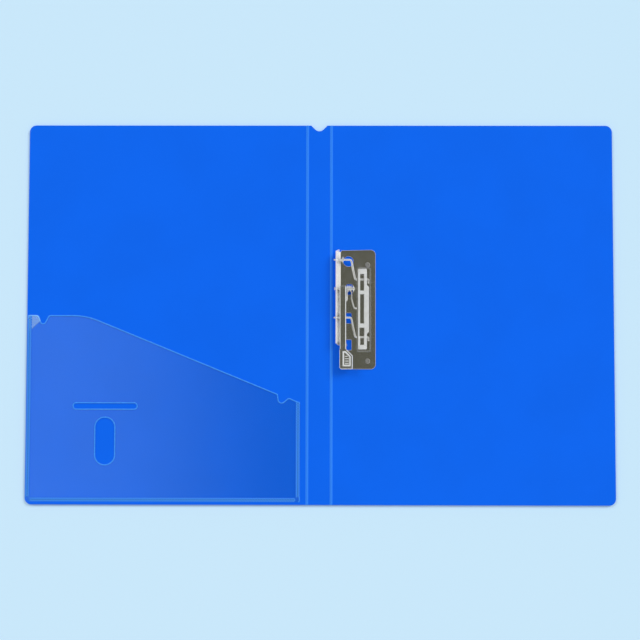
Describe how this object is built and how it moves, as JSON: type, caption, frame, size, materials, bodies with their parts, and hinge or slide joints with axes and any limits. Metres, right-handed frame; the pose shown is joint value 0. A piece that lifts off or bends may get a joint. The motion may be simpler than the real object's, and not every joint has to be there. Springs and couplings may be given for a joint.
{
  "type": "clip file folder",
  "caption": "Flat plastic file folder with a living-hinge spine, a clear pocket and a lever clip that clamps loose sheets without holes.",
  "frame": {"origin": "centre of the open folder's outline, on the face that it lies on", "axes": "+X across both open covers towards the back cover's free edge, +Y up the page, +Z out of the inside face"},
  "size_m": [0.488, 0.316, 0.0097],
  "materials": {
    "cover_plastic": "blue polypropylene sheet, fine satin grain",
    "pocket_film": "clear film, lightly frosted",
    "nickel_steel": "bright nickel-plated pressed steel",
    "bright_wire": "bright plated wire",
    "rivet_steel": "plated rivet"
  },
  "bodies": {
    "back_cover": {"back_cover": "cover_plastic", "clip_base_plate": "nickel_steel", "upper_rivet": "rivet_steel", "lower_rivet": "rivet_steel", "lever_rivet": "rivet_steel"},
    "spine": {"spine_panel": "cover_plastic"},
    "front_cover": {"front_cover": "cover_plastic", "pocket_sheet": "pocket_film"},
    "lever": {"lever": "nickel_steel"},
    "lower_crank": {"lower_crank_wire": "bright_wire"},
    "upper_crank": {"upper_crank_wire": "bright_wire"},
    "clamp_bar": {"clamp_bar": "nickel_steel", "clamp_bar_cap": "nickel_steel"},
    "clamp_spring": {"clamp_spring": "bright_wire"},
    "pivot_pin": {"pivot_pin": "bright_wire"}
  },
  "joints": [
    {"name": "spine_fold", "type": "hinge", "parent": "back_cover", "child": "spine", "pos_m": [0.009, 0, 0.0003], "axis": [0, 1, 0], "range_deg": [0, 90]},
    {"name": "front_cover_fold", "type": "hinge", "parent": "spine", "child": "front_cover", "pos_m": [-0.011, 0, 0.0003], "axis": [0, 1, 0], "range_deg": [0, 90]},
    {"name": "lever_swing", "type": "hinge", "parent": "back_cover", "child": "lever", "pos_m": [0.0187, 0.0206, 0.0056], "axis": [1, 0, 0], "range_deg": [-100, 0]},
    {"name": "clamp_swing", "type": "hinge", "parent": "back_cover", "child": "lower_crank", "pos_m": [0.02, -0.0034, 0.0056], "axis": [1, 0, 0], "range_deg": [-95, 0], "stiffness_Nm_per_rad": 0.02, "springref_deg": 57.3},
    {"name": "upper_crank_swing", "type": "hinge", "parent": "back_cover", "child": "upper_crank", "pos_m": [0.02, 0.0446, 0.0056], "axis": [1, 0, 0], "range_deg": [-95, 0]},
    {"name": "clamp_bar_tilt", "type": "hinge", "parent": "lower_crank", "child": "clamp_bar", "pos_m": [0.035, -0.0195, 0.0042], "axis": [1, 0, 0], "range_deg": [0, 95]},
    {"name": "spring_wind", "type": "hinge", "parent": "back_cover", "child": "clamp_spring", "pos_m": [0.024, 0.0206, 0.0056], "axis": [1, 0, 0], "range_deg": [-95, 0], "deforming": ["clamp_spring"]},
    {"name": "pin_spin", "type": "hinge", "parent": "back_cover", "child": "pivot_pin", "pos_m": [0.0195, 0.0206, 0.0056], "axis": [1, 0, 0], "continuous": true}
  ],
  "couplings": [
    {"joint": "upper_crank_swing", "follows": "clamp_swing", "ratio": 1},
    {"joint": "clamp_bar_tilt", "follows": "clamp_swing", "ratio": -1},
    {"joint": "spring_wind", "follows": "clamp_swing", "ratio": 1}
  ]
}
